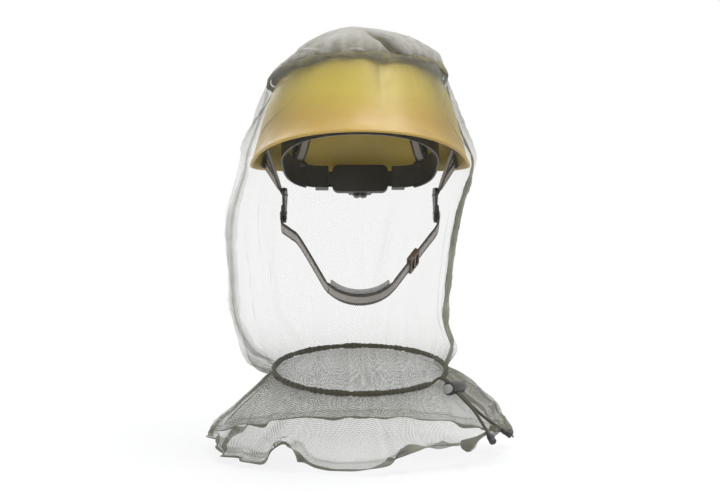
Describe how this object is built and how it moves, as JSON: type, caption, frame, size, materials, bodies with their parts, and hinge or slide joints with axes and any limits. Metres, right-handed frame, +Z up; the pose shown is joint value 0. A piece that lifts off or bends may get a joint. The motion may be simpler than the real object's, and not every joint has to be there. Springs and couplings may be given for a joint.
{
  "type": "beekeeping veil",
  "caption": "Beekeeper's net veil with a cloth crown, drawn neck and shoulder skirt, worn over a peaked helmet with ratchet headband and swinging chin strap.",
  "frame": {"origin": "centre of the wearer's head, level with the temples, inside the headband", "axes": "+Z up, the wearer faces -Y, +X is the wearer's left"},
  "size_m": [0.2985, 0.2909, 0.4188],
  "materials": {
    "crown_cloth": "woven cloth, warm grey, matt",
    "binding_tape": "dark olive cotton tape",
    "netting": "fine open net, grey-green, see-through",
    "cord": "braided cord, dark",
    "black_plastic": "moulded plastic, fine grain",
    "grey_plastic": "moulded plastic, satin",
    "white_plastic": "acetal, slightly glossy",
    "brown_plastic": "moulded plastic, satin",
    "yellow_plastic": "moulded polyethylene, glossy yellow",
    "webbing": "woven polyester webbing, dark grey",
    "pad": "foam covered with brushed cloth",
    "steel": "plated steel"
  },
  "bodies": {
    "helmet_and_veil": {"crown_cap": "crown_cloth", "crown_binding": "binding_tape", "net_front": "netting", "net_back": "netting", "side_seam_left": "binding_tape", "side_seam_right": "binding_tape", "neck_casing": "binding_tape", "neck_drawcord": "cord", "drawcord_tail_front": "cord", "drawcord_tail_rear": "cord", "cord_end_front": "black_plastic", "cord_end_rear": "black_plastic", "shoulder_skirt": "netting", "hem_binding": "binding_tape", "helmet_shell": "yellow_plastic", "harness_key_rear_left": "black_plastic", "harness_key_rear_right": "black_plastic", "harness_key_front_right": "black_plastic", "harness_key_front_left": "black_plastic", "crown_strap_lower": "webbing", "crown_strap_upper": "webbing", "crown_pad": "pad", "headband": "black_plastic", "sweatband": "pad", "ratchet_base": "black_plastic", "ratchet_cover": "black_plastic", "leg_clip_front_left": "black_plastic", "leg_clip_rear_left": "black_plastic", "leg_clip_front_right": "black_plastic", "leg_clip_rear_right": "black_plastic", "front_leg_left": "webbing", "rear_leg_left": "webbing", "front_leg_right": "webbing", "rear_leg_right": "webbing", "ear_plate_left": "black_plastic", "ear_plate_right": "black_plastic", "pivot_rivet_left": "steel", "pivot_rivet_right": "steel"},
    "knob": {"ratchet_knob": "black_plastic", "ratchet_pinion": "white_plastic", "ratchet_screw": "steel"},
    "left_rack": {"rack_left": "black_plastic"},
    "right_rack": {"rack_right": "black_plastic"},
    "chin_strap": {"strap_end_left": "black_plastic", "strap_end_right": "black_plastic", "chin_webbing": "webbing", "chin_rest": "pad"},
    "strap_slide": {"strap_adjuster": "brown_plastic"},
    "cord_lock": {"cord_lock_barrel": "black_plastic", "cord_lock_spring": "steel"},
    "lock_button": {"cord_lock_button": "grey_plastic"}
  },
  "joints": [
    {"name": "ratchet_knob_turn", "type": "hinge", "parent": "helmet_and_veil", "child": "knob", "pos_m": [0, 0.10059, -0.01385], "axis": [0, 0.9744, -0.225], "range_deg": [-60, 90]},
    {"name": "left_rack_slide", "type": "slide", "parent": "helmet_and_veil", "child": "left_rack", "axis": [-1, 0, 0], "range_m": [-0.0043, 0.0064]},
    {"name": "right_rack_slide", "type": "slide", "parent": "helmet_and_veil", "child": "right_rack", "axis": [1, 0, 0], "range_m": [-0.0043, 0.0064]},
    {"name": "chin_strap_swing", "type": "hinge", "parent": "helmet_and_veil", "child": "chin_strap", "pos_m": [0, -0.01, -0.056], "axis": [1, 0, 0], "range_deg": [-30, 50]},
    {"name": "strap_slide_shift", "type": "slide", "parent": "chin_strap", "child": "strap_slide", "axis": [-0.5301, -0.545, -0.6495], "range_m": [-0.01, 0.01]},
    {"name": "cord_lock_slide", "type": "slide", "parent": "helmet_and_veil", "child": "cord_lock", "axis": [0.6536, -0.3773, -0.6561], "range_m": [0, 0.015]},
    {"name": "lock_button_press", "type": "slide", "parent": "cord_lock", "child": "lock_button", "axis": [0.5, 0.866, 0], "range_m": [0, 0.004], "stiffness_N_per_m": 250, "springref_m": -0.004, "deforming": ["cord_lock_spring"]}
  ],
  "couplings": [
    {"joint": "left_rack_slide", "follows": "ratchet_knob_turn", "m_per_rad": 0.004},
    {"joint": "right_rack_slide", "follows": "ratchet_knob_turn", "m_per_rad": 0.004}
  ]
}
